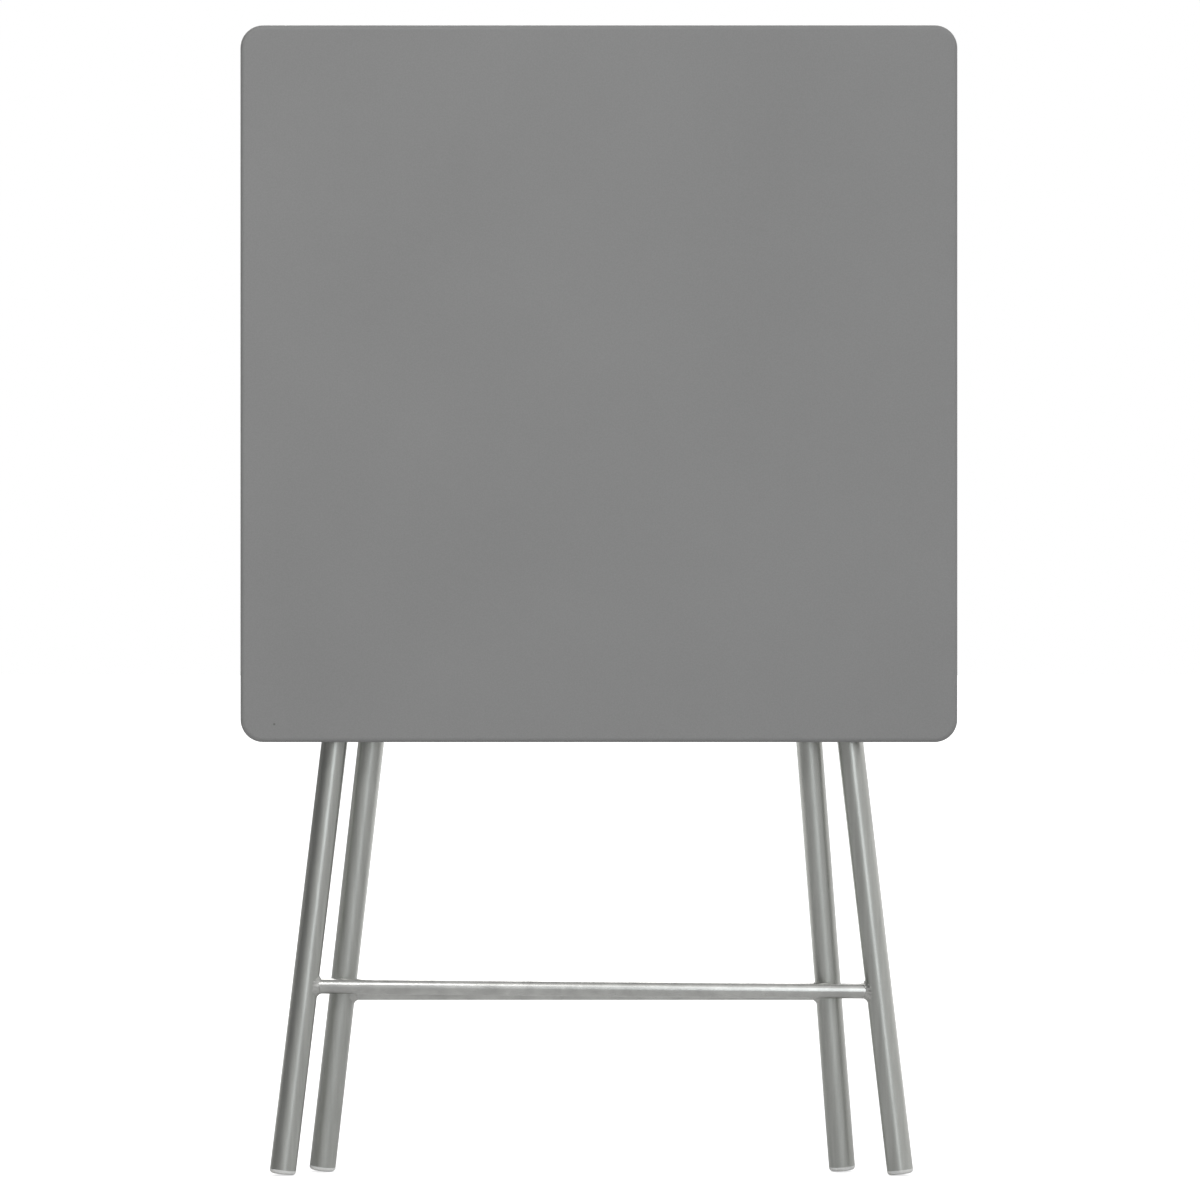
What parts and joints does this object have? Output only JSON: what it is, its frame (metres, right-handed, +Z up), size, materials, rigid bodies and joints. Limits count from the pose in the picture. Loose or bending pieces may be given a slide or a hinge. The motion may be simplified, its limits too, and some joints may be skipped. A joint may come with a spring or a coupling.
{
  "type": "folding card table",
  "caption": "Square folding card table, folded flat and standing: a grey board hung in front of two crossed, splayed frames of round steel tube.",
  "frame": {"origin": "on the floor, at the middle of the folded table's width and thickness", "axes": "+Z up along the folded table's height, +Y away from the board's show face, +X to the right as seen from in front of the show face"},
  "size_m": [0.6, 0.0672, 0.9646],
  "materials": {
    "board": "fibreboard with a smooth satin grey laminate wrapped over its rounded edges",
    "silver_tube": "satin silver-grey powder coat on steel tube",
    "zinc_bar": "bright zinc plate on steel tube",
    "foot_plug": "milky white plastic",
    "nylon": "natural nylon",
    "bracket": "black moulded plastic",
    "hinge_steel": "zinc plated pressed steel",
    "zinc_bolt": "zinc plated steel",
    "zinc_screw": "zinc plated steel",
    "rubber": "black rubber"
  },
  "bodies": {
    "root": {"pivot_bolt_left": "zinc_bolt", "pivot_bolt_right": "zinc_bolt", "pivot_nut_left": "zinc_bolt", "pivot_nut_right": "zinc_bolt", "pivot_washers_left": "nylon", "pivot_washers_right": "nylon", "pivot_spacer_left": "nylon", "pivot_spacer_right": "nylon"},
    "outer_frame": {"outer_leg_tube": "silver_tube", "outer_cross_bar": "zinc_bar", "outer_bar_welds": "zinc_bar", "outer_left_foot": "foot_plug", "outer_right_foot": "foot_plug"},
    "inner_frame": {"inner_leg_tube": "silver_tube", "inner_cross_bar": "zinc_bar", "inner_bar_welds": "zinc_bar", "inner_left_foot": "foot_plug", "inner_right_foot": "foot_plug"},
    "rail_sleeves": {"rail_sleeve_left": "nylon", "rail_sleeve_right": "nylon"},
    "hinge_hooks": {"hinge_hook_left": "hinge_steel", "hinge_hook_right": "hinge_steel", "hinge_liner_left": "nylon", "hinge_liner_right": "nylon"},
    "table_top": {"top_board": "board", "hinge_leaf_left": "hinge_steel", "hinge_leaf_right": "hinge_steel", "hinge_pin_left": "hinge_steel", "hinge_pin_right": "hinge_steel", "rail_catch_left": "bracket", "rail_catch_right": "bracket", "bumper_left": "rubber", "bumper_right": "rubber", "leaf_screws": "zinc_screw", "catch_screws": "zinc_screw", "bumper_screws": "zinc_screw"}
  },
  "joints": [
    {"name": "leg_spread", "type": "hinge", "parent": "root", "child": "outer_frame", "pos_m": [0, 0.00752, 0.48278], "axis": [-1, 0, 0], "range_deg": [0, 35.96]},
    {"name": "inner_follow", "type": "hinge", "parent": "root", "child": "inner_frame", "pos_m": [0, 0.00752, 0.48278], "axis": [1, 0, 0], "range_deg": [0, 36]},
    {"name": "sleeve_turn", "type": "hinge", "parent": "inner_frame", "child": "rail_sleeves", "pos_m": [0, -0.00501, 0.88159], "axis": [-1, 0, 0], "range_deg": [0, 126]},
    {"name": "board_slide", "type": "slide", "parent": "rail_sleeves", "child": "hinge_hooks", "axis": [0, -0.0512, 0.9987], "range_m": [0, 0.4895]},
    {"name": "top_swing", "type": "hinge", "parent": "hinge_hooks", "child": "table_top", "pos_m": [0, -0.01057, 0.93159], "axis": [-1, 0, 0], "range_deg": [0, 90]}
  ],
  "couplings": [
    {"joint": "inner_follow", "follows": "leg_spread", "ratio": 1},
    {"joint": "sleeve_turn", "follows": "leg_spread", "ratio": 3.5028},
    {"joint": "board_slide", "follows": "leg_spread", "m_per_rad": 0.77961}
  ]
}
